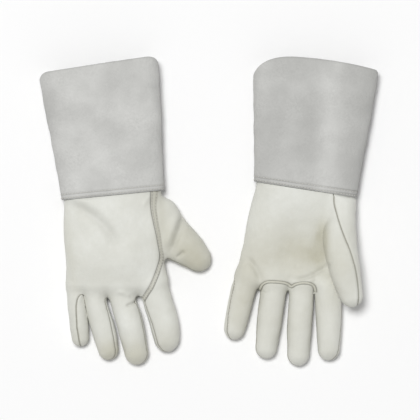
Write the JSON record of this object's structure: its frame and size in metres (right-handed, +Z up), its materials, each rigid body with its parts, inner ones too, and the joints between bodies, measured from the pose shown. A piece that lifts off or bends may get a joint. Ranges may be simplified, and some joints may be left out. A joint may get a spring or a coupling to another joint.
{
  "type": "welding gloves",
  "caption": "Gauntlet welding gloves of pale grain leather with grey split-leather cuffs, keystone thumbs and welted finger seams, laid flat as a pair.",
  "frame": {"origin": "on the bench under the middle of the pair's bounding box", "axes": "+Z up off the bench, +Y towards the cuffs' open ends, +X towards the thumbs"},
  "size_m": [0.4004, 0.3676, 0.0518],
  "materials": {
    "hand_leather": "smooth grain leather, soft sheen",
    "cuff_leather": "napped split leather, matt",
    "welt_leather": "cut leather edge, matt",
    "sewing_thread": "twisted heat-resistant sewing thread"
  },
  "bodies": {
    "right_hand": {"right_back_panel": "hand_leather", "right_cuff_lower_stitching": "sewing_thread", "right_cuff_panel": "cuff_leather", "right_cuff_side_welt": "cuff_leather", "right_cuff_upper_stitching": "sewing_thread", "right_finger_base_welt": "welt_leather", "right_index_base": "hand_leather", "right_keystone_strap": "hand_leather", "right_middle_root": "hand_leather", "right_palm_panel": "hand_leather", "right_ring_root": "hand_leather", "right_thumb_base": "hand_leather"},
    "right_little_finger": {"right_little_back": "hand_leather", "right_little_front": "hand_leather", "right_little_welt": "welt_leather"},
    "right_ring_finger": {"right_ring_back": "hand_leather", "right_ring_front": "hand_leather", "right_ring_welt": "welt_leather"},
    "right_middle_finger": {"right_middle_back": "hand_leather", "right_middle_front": "hand_leather", "right_middle_welt": "welt_leather"},
    "right_index_finger": {"right_index_back": "hand_leather", "right_index_front": "hand_leather", "right_index_welt": "welt_leather"},
    "right_thumb": {"right_thumb_back": "hand_leather", "right_thumb_front": "hand_leather", "right_thumb_welt": "welt_leather"},
    "left_hand": {"left_back_panel": "hand_leather", "left_cuff_lower_stitching": "sewing_thread", "left_cuff_panel": "cuff_leather", "left_cuff_side_welt": "cuff_leather", "left_cuff_upper_stitching": "sewing_thread", "left_finger_base_welt": "welt_leather", "left_index_base": "hand_leather", "left_keystone_strap": "hand_leather", "left_middle_root": "hand_leather", "left_palm_panel": "hand_leather", "left_ring_root": "hand_leather", "left_thumb_base": "hand_leather"},
    "left_little_finger": {"left_little_back": "hand_leather", "left_little_front": "hand_leather", "left_little_welt": "welt_leather"},
    "left_ring_finger": {"left_ring_back": "hand_leather", "left_ring_front": "hand_leather", "left_ring_welt": "welt_leather"},
    "left_middle_finger": {"left_middle_back": "hand_leather", "left_middle_front": "hand_leather", "left_middle_welt": "welt_leather"},
    "left_index_finger": {"left_index_back": "hand_leather", "left_index_front": "hand_leather", "left_index_welt": "welt_leather"},
    "left_thumb": {"left_thumb_back": "hand_leather", "left_thumb_front": "hand_leather", "left_thumb_welt": "welt_leather"}
  },
  "joints": [
    {"name": "right_little_fold", "type": "hinge", "parent": "right_hand", "child": "right_little_finger", "pos_m": [-0.15576, -0.12374, 0.01177], "axis": [-0.9917, -0.1287, 0], "range_deg": [0, 45]},
    {"name": "right_ring_fold", "type": "hinge", "parent": "right_hand", "child": "right_ring_finger", "pos_m": [-0.13065, -0.12376, 0.01278], "axis": [-0.9557, -0.2943, 0], "range_deg": [0, 45]},
    {"name": "right_middle_fold", "type": "hinge", "parent": "right_hand", "child": "right_middle_finger", "pos_m": [-0.09735, -0.12337, 0.01322], "axis": [-0.9491, -0.3149, 0], "range_deg": [0, 45]},
    {"name": "right_index_fold", "type": "hinge", "parent": "right_hand", "child": "right_index_finger", "pos_m": [-0.05757, -0.12087, 0.01346], "axis": [-0.9631, -0.2692, 0], "range_deg": [0, 45]},
    {"name": "right_thumb_fold", "type": "hinge", "parent": "right_hand", "child": "right_thumb", "pos_m": [-0.02715, -0.04539, 0.01373], "axis": [-0.6153, -0.7883, 0], "range_deg": [0, 40]},
    {"name": "left_little_fold", "type": "hinge", "parent": "left_hand", "child": "left_little_finger", "pos_m": [0.03503, -0.11212, 0.01167], "axis": [-0.9775, 0.2108, 0], "range_deg": [0, 60]},
    {"name": "left_ring_fold", "type": "hinge", "parent": "left_hand", "child": "left_ring_finger", "pos_m": [0.07186, -0.11609, 0.01269], "axis": [-0.9898, 0.1422, 0], "range_deg": [0, 60]},
    {"name": "left_middle_fold", "type": "hinge", "parent": "left_hand", "child": "left_middle_finger", "pos_m": [0.10656, -0.119, 0.01271], "axis": [-0.999, 0.0436, 0], "range_deg": [0, 60]},
    {"name": "left_index_fold", "type": "hinge", "parent": "left_hand", "child": "left_index_finger", "pos_m": [0.13948, -0.12426, 0.01319], "axis": [-1, 0.0064, 0], "range_deg": [0, 60]},
    {"name": "left_thumb_fold", "type": "hinge", "parent": "left_hand", "child": "left_thumb", "pos_m": [0.16099, -0.08222, 0.03838], "axis": [-0.9705, -0.2411, 0], "range_deg": [0, 45]},
    {"name": "left_glove_slide", "type": "slide", "parent": "right_hand", "child": "left_hand", "axis": [1, 0, 0], "range_m": [0, 0.1]}
  ]
}
